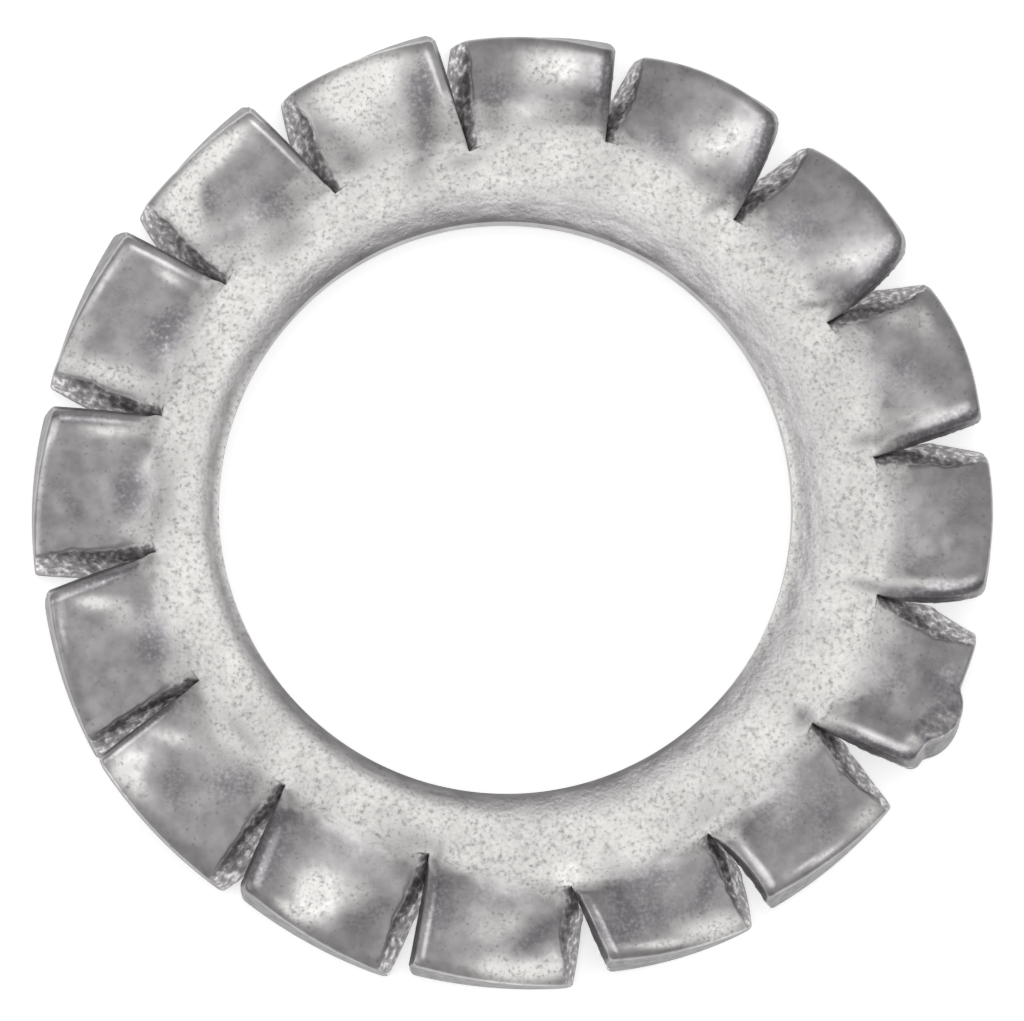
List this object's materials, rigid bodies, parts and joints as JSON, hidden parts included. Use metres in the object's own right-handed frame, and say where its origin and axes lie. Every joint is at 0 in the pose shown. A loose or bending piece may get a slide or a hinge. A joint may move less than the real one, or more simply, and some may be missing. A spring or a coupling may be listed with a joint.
{
  "type": "toothed lock washer",
  "caption": "Thin round steel lock washer with a plain bore and a rim lanced into twisted teeth that bite the nut and the part below; one tooth is dented.",
  "frame": {"origin": "centre of the bore at mid thickness of the flat ring", "axes": "+Z along the bore axis, out of the face whose bore edge is drawn in; the clockwise end of each tooth, seen from +Z, is its raised end"},
  "size_m": [0.0178, 0.0178, 0.0016],
  "materials": {
    "zinc_plated_steel": "bright zinc plating over tumbled spring steel, finely speckled"
  },
  "bodies": {
    "root": {"washer": "zinc_plated_steel"}
  },
  "joints": []
}
